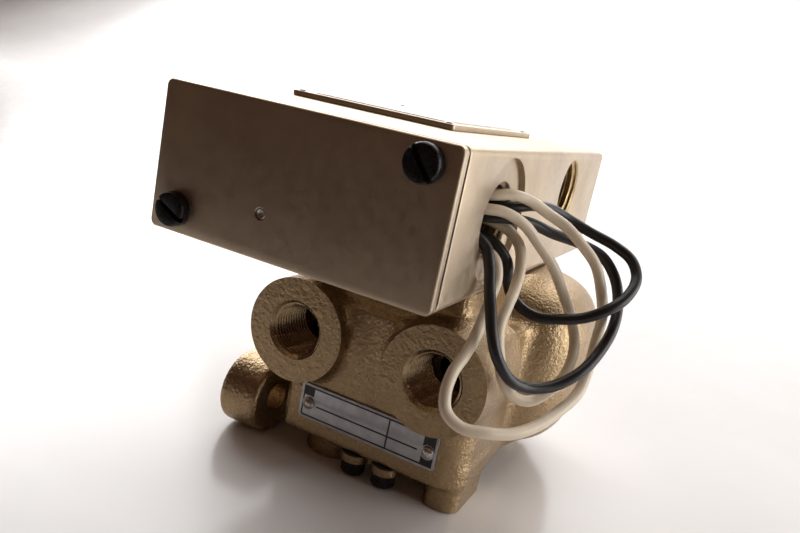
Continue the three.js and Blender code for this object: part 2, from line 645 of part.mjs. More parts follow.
function nameplatePin(x) {
  const { radius, height, shank, depth } = NAMEPLATE_PIN;
  const place = [x, NAMEPLATE_PIN_Z];
  const rod = cylinder('y', shank, [plateFront - 0.2, BODY_FRONT + depth - 0.5], place, 12);
  const dome = cone('y', [0.9, radius], [plateFront - height, plateFront], place, SMALL_SIDES);
  return join(rod, dome);
}

add('nameplate', nameplate(), 'aluminium');
for (const [name, x] of Object.entries(NAMEPLATE_PINS)) {
  add(name, nameplatePin(x), 'steel');
}

// ---- Poppet, piston and main spring ------------------------------------------------------

function disc(radius, top, bottom) {
  return ring('z', POPPET_HOLE, radius, [bottom, top], borePlace);
}

const stem = join(
  cylinder('z', STEM.radius, [STEM.bottom, STEM.top + 0.5], borePlace, 24),
  cylinder('z', STEM.headRadius, [STEM.top, STEM.headTop], borePlace, 24),
);
const pistonGroove = ring('z', 15.2, 20, [-5.4, -3.8], borePlace);
const sealBottom = EXHAUST_SEAT + POPPET_TRAVEL + FIT;
const inletTop = INLET_SEAT - FIT;
const nutTop = inletTop - 4.4;
const nutHole = cylinder('z', POPPET_HOLE, [nutTop - 5, nutTop + 1], borePlace, 24);

add('poppet_stem', stem, 'steel');
add('piston', cut(disc(PISTON.radius, PISTON.top, PISTON.bottom), pistonGroove), 'aluminium');
add('piston_seal', ring('z', 15.5, 17.7, [-5.3, -3.9], borePlace), 'rubber');
add('stem_bush', ring('z', POPPET_HOLE, 6, [WEB.bottom, PISTON_BORE.bottom], borePlace, 24), 'brass');
add('exhaust_poppet', disc(POPPET_RADIUS, sealBottom + 4.5, sealBottom + 1), 'steel');
add('exhaust_seal', ring('z', 6, 10.6, [sealBottom, sealBottom + 0.95], borePlace), 'rubber');
add('inlet_seal', ring('z', 6, 10.6, [inletTop - 0.95, inletTop], borePlace), 'rubber');
add('inlet_poppet', disc(POPPET_RADIUS, inletTop - 1, nutTop + 0.05), 'steel');
add('stem_nut', cut(hexagon('z', 9, [nutTop - 3.2, nutTop], borePlace), nutHole), 'steel');
add('main_spring', spring('z', 7.4, 1.3, [CAP_TOP - CAP.recess, nutTop], borePlace, 4), 'steel');

// ---- Leads -------------------------------------------------------------------------------

// The routes the coil's four leads take out of the side opening and back in again.
const LEAD_ROUTES = {
  lead_cream_a: [
    [66, 35.5, 25],
    [72, 35.5, 25.5],
    [78, 37, 25.5],
    [82.5, 40.5, 26.5],
    [86.5, 45, 25.5],
    [91, 48.5, 23],
    [96, 51, 20.5],
    [101, 53, 16.5],
    [105.5, 54.5, 12],
    [108.5, 55.5, 5.5],
    [110.5, 55.5, -1],
    [111, 53.5, -9],
    [111.5, 49.5, -15],
    [111.5, 43, -20],
    [109.5, 35, -23],
    [106.5, 26, -25.5],
    [102.5, 18, -26.5],
    [97.5, 12, -26],
    [92.5, 9, -25.5],
    [88.5, 8.5, -23],
    [87, 9.5, -19.5],
    [86.5, 12.5, -15],
    [87, 17, -11.5],
    [87, 22, -8],
    [86.5, 27, -4],
    [86, 31, 1],
    [85.5, 34, 5.5],
    [83.5, 35.5, 9.5],
    [79.5, 36, 11.5],
    [74, 36, 12],
    [67, 36, 12],
  ],
  lead_cream_b: [
    [66, 33.5, 21.5],
    [72, 33.5, 21.5],
    [78, 34, 22],
    [82.5, 37, 22],
    [87.5, 41, 19.5],
    [91.5, 44.5, 15],
    [96, 48, 9.5],
    [99.5, 51, 3],
    [103, 53, -3.5],
    [106, 52, -10.5],
    [106.5, 48, -17],
    [104.5, 42, -21.5],
    [101, 36, -24],
    [97.5, 31.5, -22.5],
    [95, 28, -18],
    [93, 26.5, -12],
    [91, 27.5, -5.5],
    [90.5, 32, -0.5],
    [90, 37, 3.5],
    [89, 41, 8.5],
    [86.5, 44, 13.5],
    [82.5, 44.5, 16.5],
    [78, 43, 18],
    [72, 42.5, 18.5],
    [66, 42.5, 18.5],
  ],
  lead_black_a: [
    [66, 39.5, 14.5],
    [72, 39.5, 14.5],
    [77.5, 40, 14],
    [81.5, 40.5, 12.5],
    [85, 42, 8.5],
    [86, 43, 3.5],
    [88, 43.5, -0.5],
    [91.5, 44, -3],
    [96, 44.5, -4],
    [101.5, 45.5, -3],
    [107.5, 47.5, -1],
    [112.5, 49.5, 2.5],
    [115.5, 54, 6],
    [116, 60, 10.5],
    [113, 63.5, 14.5],
    [107.5, 64.5, 17],
    [100.5, 63.5, 19],
    [94, 60.5, 21.5],
    [90, 56, 23.5],
    [86.5, 50, 24],
    [82.5, 44.5, 23],
    [78, 42, 22.5],
    [72, 40.5, 23],
    [66, 40.5, 23],
  ],
  lead_black_b: [
    [66, 38, 19.5],
    [72, 38, 19.5],
    [77.5, 38.5, 19.5],
    [82.5, 41.5, 20],
    [87.5, 47.5, 19.5],
    [92.5, 53, 17.5],
    [99, 58.5, 16],
    [105.5, 62, 13.5],
    [110, 62, 9],
    [113, 59, 3.5],
    [114.5, 52.5, -2.5],
    [113.5, 46.5, -8.5],
    [111, 40, -13.5],
    [106, 34, -17.5],
    [101, 28.5, -18],
    [97.5, 23.5, -15.5],
    [94, 21, -10.5],
    [91.5, 21, -5.5],
    [89, 23.5, -0.5],
    [86.5, 26.5, 4],
    [84.5, 29, 8.5],
    [82, 30.5, 13],
    [78, 31.5, 15],
    [72, 31.5, 15],
    [66, 31.5, 15],
  ],
};

function lead(route) {
  const points = route.map((point) => new THREE.Vector3(...point));
  const path = new THREE.CatmullRomCurve3(points, false, 'centripetal');
  const section = new THREE.Shape();
  section.absarc(0, 0, LEAD.radius, 0, Math.PI * 2);
  const steps = Math.round(path.getLength() / LEAD.step);
  const options = { steps, curveSegments: 4, bevelEnabled: false, extrudePath: path };
  return solidOf(new THREE.ExtrudeGeometry(section, options));
}

for (const [name, route] of Object.entries(LEAD_ROUTES)) {
  add(name, lead(route), name.includes('cream') ? 'creamLead' : 'blackLead');
}

// ---- Placing the valve in its own frame --------------------------------------------------

valve.position.set(-DOME.x[1] / 2, -(HOUSING.depth - COVER_SCREW.headHeight) / 2, -BASE);

export default valve;
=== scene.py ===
"""Looks for the solenoid directional valve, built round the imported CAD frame.

Shapes are worked out in millimetres in the housing frame: its origin is the lower left corner
of the cover's front face, +X to the right, +Y away from the cover and +Z up.
"""

import json
import math

import bmesh
import bpy
import numpy as np
from mathutils import Matrix, Vector


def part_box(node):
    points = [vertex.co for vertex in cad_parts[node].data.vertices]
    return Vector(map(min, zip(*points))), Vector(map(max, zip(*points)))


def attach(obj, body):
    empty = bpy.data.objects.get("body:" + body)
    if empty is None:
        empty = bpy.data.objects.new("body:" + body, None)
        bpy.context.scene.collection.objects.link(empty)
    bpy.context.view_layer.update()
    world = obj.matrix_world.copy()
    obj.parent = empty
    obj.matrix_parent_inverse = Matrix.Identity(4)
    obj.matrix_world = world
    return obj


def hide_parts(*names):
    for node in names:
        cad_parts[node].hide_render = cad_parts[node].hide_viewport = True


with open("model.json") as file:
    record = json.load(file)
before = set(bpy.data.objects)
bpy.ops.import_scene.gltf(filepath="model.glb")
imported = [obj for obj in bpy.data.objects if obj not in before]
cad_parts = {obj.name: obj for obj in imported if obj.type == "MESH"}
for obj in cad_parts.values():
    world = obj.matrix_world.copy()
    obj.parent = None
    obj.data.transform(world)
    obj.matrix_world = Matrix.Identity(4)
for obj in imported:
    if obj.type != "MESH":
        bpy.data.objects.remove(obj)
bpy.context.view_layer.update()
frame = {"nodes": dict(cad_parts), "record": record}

MM = 0.001
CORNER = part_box("front_cover")[0]
PLACEMENT = Matrix.Translation(CORNER) @ Matrix.Scale(MM, 4)

# ---- Camera ------------------------------------------------------------------------------

CAMERA_PLACE = (138.28, -148.38, 47.65)
CAMERA_RIGHT = Vector((0.877727, 0.436528, 0.197581))
CAMERA_DOWN = Vector((0.276291, -0.124183, -0.953017))
CAMERA_FORWARD = Vector((-0.391482, 0.891079, -0.229608))


def make_camera():
    data = bpy.data.cameras.new("camera")
    data.sensor_width = 36.0
    data.lens = 33.70
    data.clip_start = 0.01
    data.clip_end = 20.0
    camera = bpy.data.objects.new("camera", data)
    axes = Matrix((CAMERA_RIGHT, -CAMERA_DOWN, -CAMERA_FORWARD)).transposed()
    camera.matrix_world = Matrix.Translation(PLACEMENT @ Vector(CAMERA_PLACE)) @ axes.to_4x4()
    bpy.context.scene.collection.objects.link(camera)
    bpy.context.scene.camera = camera


make_camera()

# ---- Leads -------------------------------------------------------------------------------

LEAD_RADIUS = 1.5
LEAD_ROUTES = {
    "cream_a": [
        (66, 35.5, 25), (72, 35.5, 25.5), (78, 37, 25.5), (82.5, 40.5, 26.5), (86.5, 45, 25.5),
        (91, 48.5, 23), (96, 51, 20.5), (101, 53, 16.5), (105.5, 54.5, 12), (108.5, 55.5, 5.5),
        (110.5, 55.5, -1), (111, 53.5, -9), (111.5, 49.5, -15), (111.5, 43, -20),
        (109.5, 35, -23), (106.5, 26, -25.5), (102.5, 18, -26.5), (97.5, 12, -26),
        (92.5, 9, -25.5), (88.5, 8.5, -23), (87, 9.5, -19.5), (86.5, 12.5, -15), (87, 17, -11.5),
        (87, 22, -8), (86.5, 27, -4), (86, 31, 1), (85.5, 34, 5.5), (83.5, 35.5, 9.5),
        (79.5, 36, 11.5), (74, 36, 12), (67, 36, 12),
    ],
    "cream_b": [
        (66, 33.5, 21.5), (72, 33.5, 21.5), (78, 34, 22), (82.5, 37, 22), (87.5, 41, 19.5),
        (91.5, 44.5, 15), (96, 48, 9.5), (99.5, 51, 3), (103, 53, -3.5), (106, 52, -10.5),
        (106.5, 48, -17), (104.5, 42, -21.5), (101, 36, -24), (97.5, 31.5, -22.5), (95, 28, -18),
        (93, 26.5, -12), (91, 27.5, -5.5), (90.5, 32, -0.5), (90, 37, 3.5), (89, 41, 8.5),
        (86.5, 44, 13.5), (82.5, 44.5, 16.5), (78, 43, 18), (72, 42.5, 18.5), (66, 42.5, 18.5),
    ],
    "black_a": [
        (66, 39.5, 14.5), (72, 39.5, 14.5), (77.5, 40, 14), (81.5, 40.5, 12.5), (85, 42, 8.5),
        (86, 43, 3.5), (88, 43.5, -0.5), (91.5, 44, -3), (96, 44.5, -4), (101.5, 45.5, -3),
        (107.5, 47.5, -1), (112.5, 49.5, 2.5), (115.5, 54, 6), (116, 60, 10.5), (113, 63.5, 14.5),
        (107.5, 64.5, 17), (100.5, 63.5, 19), (94, 60.5, 21.5), (90, 56, 23.5), (86.5, 50, 24),
        (82.5, 44.5, 23), (78, 42, 22.5), (72, 40.5, 23), (66, 40.5, 23),
    ],
    "black_b": [
        (66, 38, 19.5), (72, 38, 19.5), (77.5, 38.5, 19.5), (82.5, 41.5, 20), (87.5, 47.5, 19.5),
        (92.5, 53, 17.5), (99, 58.5, 16), (105.5, 62, 13.5), (110, 62, 9), (113, 59, 3.5),
        (114.5, 52.5, -2.5), (113.5, 46.5, -8.5), (111, 40, -13.5), (106, 34, -17.5),
        (101, 28.5, -18), (97.5, 23.5, -15.5), (94, 21, -10.5), (91.5, 21, -5.5),
        (89, 23.5, -0.5), (86.5, 26.5, 4), (84.5, 29, 8.5), (82, 30.5, 13), (78, 31.5, 15),
        (72, 31.5, 15), (66, 31.5, 15),
    ],
}


def smooth_route(points, steps=8):
    """A centripetal Catmull-Rom line through the points."""
    places = [Vector(point) for point in points]
    places.insert(0, places[0] * 2 - places[1])
    places.append(places[-1] * 2 - places[-2])
    line = []
    for before, start, end, after in zip(places, places[1:], places[2:], places[3:]):
        gaps = [math.sqrt((b - a).length) for a, b in ((before, start), (start, end), (end, after))]
        first, middle, last = gaps
        leave = (start - before) / first - (end - before) / (first + middle)
        leave = (leave + (end - start) / middle) * middle
        arrive = (end - start) / middle - (after - start) / (middle + last)
        arrive = (arrive + (after - end) / last) * middle
        for step in range(steps):
            t = step / steps
            bend = -3 * start + 3 * end - 2 * leave - arrive
            twist = 2 * start - 2 * end + leave + arrive
            line.append(start + leave * t + bend * t * t + twist * t**3)
    line.append(places[-2])
    return line


def make_lead(name, route):
    """A free lead. Each point's radius scales the bevel, so the curve's box is its true size."""
    line = [PLACEMENT @ point for point in smooth_route(route)]
    data = bpy.data.curves.new(name, "CURVE")
    data.dimensions = "3D"
    data.bevel_depth = 1.0
    data.bevel_resolution = 5
    data.use_fill_caps = True
    spline = data.splines.new("POLY")
    spline.points.add(len(line) - 1)
    for point, place in zip(spline.points, line):
        point.co = (*place, 1.0)
        point.radius = LEAD_RADIUS * MM
    spline.use_smooth = True
    lead = bpy.data.objects.new(name, data)
    bpy.context.scene.collection.objects.link(lead)
    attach(lead, "valve")
    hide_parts("lead_" + name.split("_", 1)[1])
    return lead


leads = {colour: make_lead("insulation_" + colour, route) for colour, route in LEAD_ROUTES.items()}

# ---- Shape tools -------------------------------------------------------------------------


def new_object(name, vertices, faces):
    """A closed mesh from points in millimetres, placed in the row frame."""
    mesh = bpy.data.meshes.new(name)
    bm = bmesh.new()
    corners = [bm.verts.new(PLACEMENT @ Vector(v)) for v in vertices]
    for face in faces:
        bm.faces.new([corners[i] for i in face])
    bmesh.ops.recalc_face_normals(bm, faces=bm.faces)
    bm.to_mesh(mesh)
    bm.free()
    made = bpy.data.objects.new(name, mesh)
    bpy.context.scene.collection.objects.link(made)
    return made


def on_axis(axis, place, r, angle, along):
    """A point at a radius and angle round an axis. place is the axis's other two coordinates."""
    a, b = r * math.cos(angle), r * math.sin(angle)
    if axis == "x":
        return (along, place[0] + a, place[1] + b)
    if axis == "y":
        return (place[0] + a, along, place[1] + b)
    return (place[0] + a, place[1] + b, along)


def lathe(name, profile, axis, place, sides=64, wave=None):
    """A turned solid. profile runs from one end to the other as (radius, position) pairs.
    wave(angle, radius) may change a radius, as a knurl does."""
    vertices, faces, rings = [], [], []
    for r, along in profile:
        if r <= 0:
            rings.append([len(vertices)])
            vertices.append(on_axis(axis, place, 0, 0, along))
            continue
        ring = []
        for i in range(sides):
            angle = math.tau * i / sides
            ring.append(len(vertices))
            size = wave(angle, r) if wave else r
            vertices.append(on_axis(axis, place, size, angle, along))
        rings.append(ring)
    for low, high in zip(rings, rings[1:]):
        for i in range(sides):
            j = (i + 1) % sides
            quad = [low[i % len(low)], low[j % len(low)], high[j % len(high)], high[i % len(high)]]
            faces.append(list(dict.fromkeys(quad)))
    for end in (rings[0], rings[-1]):
        if len(end) > 1:
            faces.append(end)
    return new_object(name, vertices, faces)


def rod(name, axis, r, span, place, sides=64):
    return lathe(name, [(r, span[0]), (r, span[1])], axis, place, sides)


def rounded_outline(a, b, r, steps=8):
    """A rectangle with rounded corners, as points. a and b are its two spans."""
    points = []
    right, left, low, high = a[1] - r, a[0] + r, b[0] + r, b[1] - r
    centres = [(right, low), (right, high), (left, high), (left, low)]
    for quarter, (ca, cb) in enumerate(centres):
        for i in range(steps + 1):
            angle = (quarter - 1 + i / steps) * math.pi / 2
            points.append((ca + r * math.cos(angle), cb + r * math.sin(angle)))
    return points


def slab(name, outline, axis, span):
    """An outline made solid along an axis, between two positions."""

    def put(a, b, along):
        if axis == "x":
            return (along, a, b)
        if axis == "y":
            return (a, along, b)
        return (a, b, along)

    count = len(outline)
    vertices = [put(a, b, span[0]) for a, b in outline] + [put(a, b, span[1]) for a, b in outline]
    faces = [list(range(count)), list(range(count, 2 * count))]
    for i in range(count):
        j = (i + 1) % count
        faces.append([i, j, count + j, count + i])
    return new_object(name, vertices, faces)


def block(name, x, y, z):
    return slab(name, [(x[0], y[0]), (x[1], y[0]), (x[1], y[1]), (x[0], y[1])], "z", z)


def settle(piece):
    """Applies a piece's modifiers to its mesh."""
    depsgraph = bpy.context.evaluated_depsgraph_get()
    mesh = bpy.data.meshes.new_from_object(piece.evaluated_get(depsgraph))
    old = piece.data
    piece.modifiers.clear()
    piece.data = mesh
    mesh.name = piece.name
    bpy.data.meshes.remove(old)


def combine(piece, tools, operation="DIFFERENCE", solver="EXACT"):
    for tool in tools:
        change = piece.modifiers.new("combine", "BOOLEAN")
        change.operation = operation
        change.solver = solver
        change.object = tool
        settle(piece)
        mesh = tool.data
        bpy.data.objects.remove(tool)
        bpy.data.meshes.remove(mesh)


def join_tools(name, tools):
    """Several tools that don't touch each other, as one."""
    bm = bmesh.new()
    for tool in tools:
        bm.from_mesh(tool.data)
        mesh = tool.data
        bpy.data.objects.remove(tool)
        bpy.data.meshes.remove(mesh)
    mesh = bpy.data.meshes.new(name)
    bm.to_mesh(mesh)
    bm.free()
    made = bpy.data.objects.new(name, mesh)
    bpy.context.scene.collection.objects.link(made)
    return made


def ease_edges(piece, width, segments=2, angle=30):
    """Rounds a piece's sharp edges."""
    bevel = piece.modifiers.new("ease", "BEVEL")
    bevel.width = width * MM
    bevel.segments = segments
    bevel.limit_method = "ANGLE"
    bevel.angle_limit = math.radians(angle)
    bevel.use_clamp_overlap = True
    settle(piece)


def shade(piece, angle=32):
    piece.data.shade_smooth()
    piece.data.set_sharp_from_angle(angle=math.radians(angle))


def thread(name, axis, place, face, inward, depth, minor, major, outer, pitch, mouth, sides=96):
    """A sleeve with a screw thread inside. face is where its mouth is, and inward is 1 or -1
    along the axis. mouth is the countersink's radius."""
    vertices, faces = [], []
    rows = int(depth / pitch * 10)
    for i in range(rows + 1):
        down = depth * i / rows
        for j in range(sides):
            phase = (down / pitch - inward * j / sides) % 1
            crest = min(max((1 - abs(2 * phase - 1)) * 1.3 - 0.15, 0), 1)
            r = max(minor + (major - minor) * crest, mouth - down)
            vertices.append(on_axis(axis, place, r, math.tau * j / sides, face + inward * down))
    first_outer = len(vertices)
    for down in (0, depth):
        for j in range(sides):
            angle = math.tau * j / sides
            vertices.append(on_axis(axis, place, outer, angle, face + inward * down))
    for j in range(sides):
        k = (j + 1) % sides
        for i in range(rows):
            low, high = i * sides, (i + 1) * sides
            faces.append([low + j, low + k, high + k, high + j])
        near, far = first_outer, first_outer + sides
        last = rows * sides
        faces.append([j, k, near + k, near + j])
        faces.append([last + j, last + k, far + k, far + j])
        faces.append([near + j, near + k, far + k, far + j])
    return new_object(name, vertices, faces)


# ---- Casting tools: fields whose zero is a surface ---------------------------------------


def field_box(p, x, y, z, r):
    low = np.array([x[0], y[0], z[0]], float)
    high = np.array([x[1], y[1], z[1]], float)
    q = np.abs(p - (low + high) / 2) - (high - low) / 2 + r
    outside = np.linalg.norm(np.maximum(q, 0), axis=-1)
    return outside + np.minimum(q.max(axis=-1), 0) - r


def field_slab(p, x, y, z, corner, edge=1.5):
    """An upright block: corner rounds its four upright edges, and edge all the others."""
    a = np.abs(p[..., 0] - (x[0] + x[1]) / 2) - (x[1] - x[0]) / 2 + corner
    b = np.abs(p[..., 1] - (y[0] + y[1]) / 2) - (y[1] - y[0]) / 2 + corner
    plan = np.hypot(np.maximum(a, 0), np.maximum(b, 0)) + np.minimum(np.maximum(a, b), 0) - corner
    plan = plan + edge
    ends = np.abs(p[..., 2] - (z[0] + z[1]) / 2) - (z[1] - z[0]) / 2 + edge
    outside = np.hypot(np.maximum(plan, 0), np.maximum(ends, 0))
    return outside + np.minimum(np.maximum(plan, ends), 0) - edge


def field_rod(p, axis, r, span, place, edge=1.0):
    along = {"x": 0, "y": 1, "z": 2}[axis]
    others = [i for i in range(3) if i != along]
    across = np.hypot(p[..., others[0]] - place[0], p[..., others[1]] - place[1]) - r + edge
    middle, half = (span[0] + span[1]) / 2, (span[1] - span[0]) / 2
    ends = np.abs(p[..., along] - middle) - half + edge
    outside = np.hypot(np.maximum(across, 0), np.maximum(ends, 0))
    return outside + np.minimum(np.maximum(across, ends), 0) - edge


def field_egg(p, centre, radii, lower, power):
    """A rounded bulge, lower tall below its middle. The value is only near the true distance
    close to its surface."""
    q = np.abs((p - np.array(centre, float)) / np.array(radii, float))
    q[..., 2] = np.where(p[..., 2] < centre[2], q[..., 2] * radii[2] / lower, q[..., 2])
    size = (q**power).sum(axis=-1) ** (1 / power)
    return (size - 1) * min(radii)


def blend_in(a, b, k):
    """The two fields joined with a fillet of about k."""
    h = np.maximum(k - np.abs(a - b), 0) / k
    return np.minimum(a, b) - h * h * k / 4


def surface_of(name, field, low, high, step):
    """The field's zero surface as a mesh of quads, each vertex moved on to the surface."""
    axes = [np.arange(a, b + step, step) for a, b in zip(low, high)]
    grid = np.stack(np.meshgrid(*axes, indexing="ij"), axis=-1)
    values = np.concatenate([field(part) for part in np.array_split(grid, 12)])
    inside = values < 0
    cells = tuple(n - 1 for n in inside.shape)
    total, count = np.zeros(cells + (3,)), np.zeros(cells)
    for axis in range(3):
        near = [slice(None)] * 3
        far = [slice(None)] * 3
        near[axis], far[axis] = slice(0, -1), slice(1, None)
        a, b = values[tuple(near)], values[tuple(far)]
        crosses = (a < 0) != (b < 0)
        with np.errstate(divide="ignore", invalid="ignore"):
            t = np.where(crosses, a / (a - b), 0)
        place = grid[tuple(near)].copy()
        place[..., axis] += t * step
        others = [i for i in range(3) if i != axis]
        for shift in ((0, 0), (0, 1), (1, 0), (1, 1)):
            part = [slice(None)] * 3
            for other, s in zip(others, shift):
                part[other] = slice(s, s + cells[other])
            hit = crosses[tuple(part)]
            total += np.where(hit[..., None], place[tuple(part)], 0)
            count += hit
    used = count > 0
    index = np.full(cells, -1)
    index[used] = np.arange(used.sum())
    vertices = total[used] / count[used][:, None]
    quads = []
    for axis in range(3):
        near = [slice(None)] * 3
        far = [slice(None)] * 3
        near[axis], far[axis] = slice(0, -1), slice(1, None)
        sides = inside[tuple(near)] != inside[tuple(far)]
        u, v = [i for i in range(3) if i != axis]
        at = np.argwhere(sides)
        at = at[(at[:, u] > 0) & (at[:, v] > 0) & (at[:, u] < cells[u]) & (at[:, v] < cells[v])]
        ring = []
        for du, dv in ((-1, -1), (0, -1), (0, 0), (-1, 0)):
            cell = at.copy()
            cell[:, u] += du
            cell[:, v] += dv
            ring.append(index[cell[:, 0], cell[:, 1], cell[:, 2]])
        quads.append(np.stack(ring, axis=1))
    quads = np.concatenate(quads)
    nudge = 0.05
    for _ in range(3):
        value = field(vertices)
        slope = np.stack(
            [
                (field(vertices + nudge * unit) - field(vertices - nudge * unit)) / (2 * nudge)
                for unit in np.eye(3)
            ],
            axis=-1,
        )
        size = np.maximum((slope**2).sum(axis=-1), 0.2)
        move = np.clip(value / size, -step, step)
        vertices = vertices - 0.8 * move[:, None] * slope
    return new_object(name, vertices.tolist(), quads.tolist())


# ---- Materials ---------------------------------------------------------------------------


class Look:
    """A material's nodes. Its noise sits in the row frame, with sizes in millimetres."""

    def __init__(self, name):
        self.material = bpy.data.materials.new(name)
        self.material.use_nodes = True
        self.nodes = self.material.node_tree.nodes
        self.links = self.material.node_tree.links
        self.shader = self.nodes["Principled BSDF"]
        self.place = self.nodes.new("ShaderNodeTexCoord").outputs["Object"]

    def noise(self, size, detail=3.0, roughness=0.55, stretch=None):
        node = self.nodes.new("ShaderNodeTexNoise")
        node.inputs["Scale"].default_value = 1 / (size * MM)
        node.inputs["Detail"].default_value = detail
        node.inputs["Roughness"].default_value = roughness
        place = self.place
        if stretch:
            mapping = self.nodes.new("ShaderNodeMapping")
            mapping.inputs["Scale"].default_value = stretch
            self.links.new(place, mapping.inputs["Vector"])
            place = mapping.outputs["Vector"]
        self.links.new(place, node.inputs["Vector"])
        return node.outputs["Fac"]

    def spread(self, value, low, high, start=0.3, end=0.7):
        """The value from start to end, spread from low to high."""
        node = self.nodes.new("ShaderNodeMapRange")
        node.inputs["From Min"].default_value = start
        node.inputs["From Max"].default_value = end
        node.inputs["To Min"].default_value = low
        node.inputs["To Max"].default_value = high
        self.links.new(value, node.inputs["Value"])
        return node.outputs["Result"]

    def mix(self, factor, a, b):
        node = self.nodes.new("ShaderNodeMix")
        node.data_type = "RGBA"
        self.links.new(factor, node.inputs[0])
        for socket, value in ((node.inputs[6], a), (node.inputs[7], b)):
            if isinstance(value, tuple):
                socket.default_value = (*value, 1.0)
            else:
                self.links.new(value, socket)
        return node.outputs[2]

    def colour(self, value):
        self.links.new(value, self.shader.inputs["Base Color"])

    def roughness(self, value):
        self.links.new(value, self.shader.inputs["Roughness"])

    def bump(self, value, depth, strength=1.0):
        """Raises the surface by the value, up to a depth in millimetres."""
        node = self.nodes.new("ShaderNodeBump")
        node.inputs["Strength"].default_value = strength
        node.inputs["Distance"].default_value = depth * MM
        self.links.new(value, node.inputs["Height"])
        normal = self.shader.inputs["Normal"]
        if normal.is_linked:
            self.links.new(normal.links[0].from_socket, node.inputs["Normal"])
        self.links.new(node.outputs["Normal"], normal)

    def set(self, **values):
        for key, value in values.items():
            self.shader.inputs[key.replace("_", " ")].default_value = value


def shades(colour, low=0.85, high=1.12):
    """A darker and a lighter shade of a colour."""
    return tuple(c * low for c in colour), tuple(min(c * high, 1) for c in colour)


CAST_GOLD = (0.4, 0.285, 0.162)
CHAMPAGNE = (0.58, 0.47, 0.34)


def cast_look():
    look = Look("cast_champagne")
    dark, light = shades(CAST_GOLD, 0.88, 1.1)
    look.colour(look.mix(look.spread(look.noise(1.1, 5), 0, 1), dark, light))
    look.roughness(look.spread(look.noise(0.8, 4), 0.24, 0.46))
    look.set(Metallic=0.97)
    look.bump(look.noise(6, 2), 0.3, 0.7)
    look.bump(look.noise(0.95, 2, 0.5), 0.28, 1.0)
    look.bump(look.noise(0.45, 2, 0.5), 0.09, 0.9)
    return look.material


def satin_look():
    look = Look("satin_champagne")
    dark, light = shades(CHAMPAGNE, 0.9, 1.1)
    look.colour(look.mix(look.spread(look.noise(16, 6, 0.6), 0, 1), dark, light))
    look.roughness(look.spread(look.noise(3, 6, 0.65), 0.3, 0.46))
    look.set(Metallic=0.85)
    look.bump(look.noise(1.6, 5, 0.6), 0.03, 0.5)
    look.bump(look.noise(0.3, 2), 0.012, 0.5)
    return look.material


def black_steel_look():
    look = Look("black_oxide")
    dark, light = (0.012, 0.012, 0.014), (0.05, 0.048, 0.05)
    look.colour(look.mix(look.spread(look.noise(0.8, 5), 0, 1), dark, light))
    look.roughness(look.spread(look.noise(0.5, 4), 0.26, 0.5))
    look.set(Metallic=0.75)
    look.bump(look.noise(0.25, 3), 0.02, 0.5)
    return look.material


def metal_look(name, colour, rough=(0.22, 0.4), grain=0.4, stretch=None):
    look = Look(name)
    dark, light = shades(colour)
    look.colour(look.mix(look.spread(look.noise(2.5, 4), 0, 1), dark, light))
    look.roughness(look.spread(look.noise(grain, 4, 0.6, stretch), *rough))
    look.set(Metallic=1.0)
    look.bump(look.noise(grain, 3, 0.5, stretch), 0.012, 0.5)
    return look.material


def soft_look(name, colour, rough=(0.5, 0.75), grain=0.5, depth=0.03, metallic=0.0):
    look = Look(name)
    dark, light = shades(colour, 0.8, 1.2)
    look.colour(look.mix(look.spread(look.noise(3, 4), 0, 1), dark, light))
    look.roughness(look.spread(look.noise(grain * 2, 4), *rough))
    look.set(Metallic=metallic)
    look.bump(look.noise(grain, 3), depth, 0.6)
    return look.material


def lead_look(name, colour, sheen):
    look = Look(name)
    dark, light = shades(colour, 0.9, 1.06)
    look.colour(look.mix(look.spread(look.noise(9, 4), 0, 1), dark, light))
    look.roughness(look.spread(look.noise(1.2, 4), 0.28, 0.42))
    look.set(Subsurface_Weight=sheen, Subsurface_Radius=(0.002, 0.0015, 0.001))
    look.bump(look.noise(0.9, 3), 0.02, 0.4)
    return look.material


LOOKS = {
    "cast_body": cast_look(),
    "painted_housing": satin_look(),
    "black_steel": black_steel_look(),
    "steel": metal_look("zinc_plate", (0.62, 0.6, 0.56)),
    "plain_aluminium": metal_look("plain_aluminium", (0.7, 0.69, 0.67), (0.3, 0.46), 0.3),
    "brass": metal_look("turned_brass", (0.56, 0.42, 0.22), (0.3, 0.45), 0.5),
    "rubber": soft_look("nitrile", (0.02, 0.02, 0.021)),
    "gasket": soft_look("gasket_sheet", (0.05, 0.04, 0.032), (0.7, 0.9)),
    "bobbin": soft_look("nylon", (0.03, 0.032, 0.038), (0.4, 0.55)),
    "copper_winding": metal_look(
        "enamelled_copper", (0.45, 0.17, 0.07), (0.3, 0.4), 0.4, (1, 12, 1)
    ),
    "label": soft_look("label_film", (0.78, 0.78, 0.76), (0.1, 0.2), 2.0, 0.008),
    "cream_lead": lead_look("cream_insulation", (0.92, 0.79, 0.6), 0.08),
    "black_lead": lead_look("black_insulation", (0.02, 0.0185, 0.0185), 0.0),
    "machined_bore": metal_look("machined_bore", (0.4, 0.29, 0.17), (0.2, 0.32), 0.6),
    "ink": soft_look("black_ink", (0.012, 0.012, 0.014), (0.3, 0.45), 0.3, 0.004),
    "plate": metal_look("brushed_plate", (0.5, 0.5, 0.52), (0.34, 0.5), 0.25, (1, 1, 9)),
}


def dress(piece, look):
    piece.data.materials.clear()
    piece.data.materials.append(LOOKS[look])


def fit(piece, body, slot, replaced=(), look=None, angle=32):
    """Shades and dresses a finished piece, and puts it on its body."""
    shade(piece, angle)
    dress(piece, look or slot)
    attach(piece, body)
    if replaced:
        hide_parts(*replaced)


for part in frame["record"]["subparts"]:
    dress(frame["nodes"][part["node"]], part["material_slot"])

for colour, lead in leads.items():
    slot = "cream_lead" if colour.startswith("cream") else "black_lead"
    dress(lead, slot)

# ---- Valve body --------------------------------------------------------------------------

